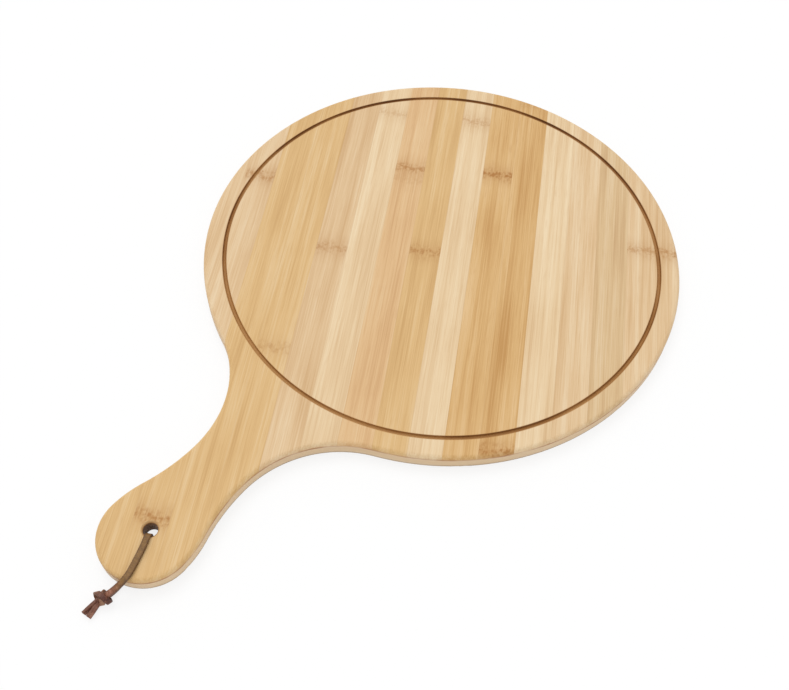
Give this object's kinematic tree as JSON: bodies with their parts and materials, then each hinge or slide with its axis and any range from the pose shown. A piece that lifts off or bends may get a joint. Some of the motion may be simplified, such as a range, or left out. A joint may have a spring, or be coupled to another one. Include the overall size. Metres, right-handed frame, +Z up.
{
  "type": "serving board",
  "caption": "Round bamboo board with a juice groove and a short waisted handle, hung by a knotted leather lace, for serving and cutting a pizza.",
  "frame": {"origin": "the middle of the board's footprint on the table", "axes": "+Z up, -Y towards the handle's end, +X to the right as seen from the handle"},
  "size_m": [0.3, 0.451, 0.0146],
  "materials": {
    "bamboo_pale": "oiled, satin, fine straight fibres with a pale knuckle here and there",
    "bamboo_honey": "oiled, satin, fine straight fibres",
    "bamboo_gold": "oiled, satin, darker carbonised stave",
    "bamboo_core": "sanded edge, matt",
    "leather": "flat cut leather lace, worn, satin"
  },
  "bodies": {
    "board": {"face_stave_1": "bamboo_pale", "face_stave_2": "bamboo_pale", "face_stave_3": "bamboo_honey", "face_stave_4": "bamboo_honey", "face_stave_5": "bamboo_honey", "face_stave_6": "bamboo_pale", "face_stave_7": "bamboo_gold", "face_stave_8": "bamboo_honey", "face_stave_9": "bamboo_pale", "face_stave_10": "bamboo_gold", "face_stave_11": "bamboo_gold", "face_stave_12": "bamboo_pale", "face_stave_13": "bamboo_pale", "face_stave_14": "bamboo_honey", "face_stave_15": "bamboo_honey", "face_stave_16": "bamboo_pale", "face_grip_stave_1": "bamboo_pale", "face_grip_stave_2": "bamboo_honey", "core_stave_1": "bamboo_core", "core_stave_2": "bamboo_core", "core_stave_3": "bamboo_core", "core_stave_4": "bamboo_core", "core_stave_5": "bamboo_core", "core_stave_6": "bamboo_core", "core_stave_7": "bamboo_core", "core_stave_8": "bamboo_core", "core_stave_9": "bamboo_core", "core_stave_10": "bamboo_core", "core_stave_11": "bamboo_core", "core_stave_12": "bamboo_core", "core_stave_13": "bamboo_core", "core_stave_14": "bamboo_core", "core_stave_15": "bamboo_core", "core_stave_16": "bamboo_core", "core_stave_17": "bamboo_core", "core_stave_18": "bamboo_core", "core_stave_19": "bamboo_core", "core_stave_20": "bamboo_core", "core_stave_21": "bamboo_core", "back_stave_1": "bamboo_pale", "back_stave_2": "bamboo_gold", "back_stave_3": "bamboo_honey", "back_stave_4": "bamboo_pale", "back_stave_5": "bamboo_gold", "back_stave_6": "bamboo_gold", "back_stave_7": "bamboo_pale", "back_stave_8": "bamboo_pale", "back_stave_9": "bamboo_honey", "back_stave_10": "bamboo_honey", "back_stave_11": "bamboo_pale", "back_stave_12": "bamboo_pale", "back_stave_13": "bamboo_pale", "back_stave_14": "bamboo_honey", "back_stave_15": "bamboo_honey", "back_stave_16": "bamboo_honey", "back_grip_stave_1": "bamboo_pale", "back_grip_stave_2": "bamboo_gold"},
    "lace": {"lace_over": "leather", "lace_under": "leather", "lace_knot": "leather"}
  },
  "joints": [
    {"name": "lace_swing", "type": "hinge", "parent": "board", "child": "lace", "pos_m": [0, -0.185, 0.007], "axis": [0, 0, 1], "range_deg": [-100, 65]}
  ]
}
